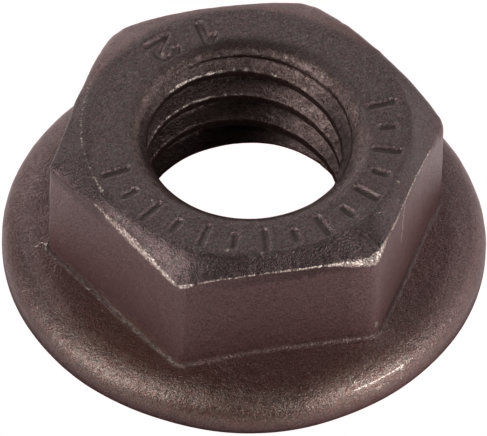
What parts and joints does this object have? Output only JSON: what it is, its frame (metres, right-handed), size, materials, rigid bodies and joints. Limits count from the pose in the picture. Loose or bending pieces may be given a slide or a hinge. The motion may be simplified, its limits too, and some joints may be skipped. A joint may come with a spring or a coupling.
{
  "type": "hexagon flange nut",
  "caption": "Forged hexagon nut with a domed round flange at its base and a metric thread through it, in dark oxidised steel.",
  "frame": {"origin": "on the thread's axis, at the bearing face of the flange", "axes": "+Z along the thread's axis, from the bearing face to the hexagon's top face; the hexagon has corners on +X and -X and a pair of flats square to Y"},
  "size_m": [0.0166, 0.0166, 0.0063],
  "materials": {
    "dark_steel": "dark brown-black oxide over forged steel, satin, worn bright along the edges"
  },
  "bodies": {
    "root": {"flange_nut": "dark_steel"}
  },
  "joints": []
}
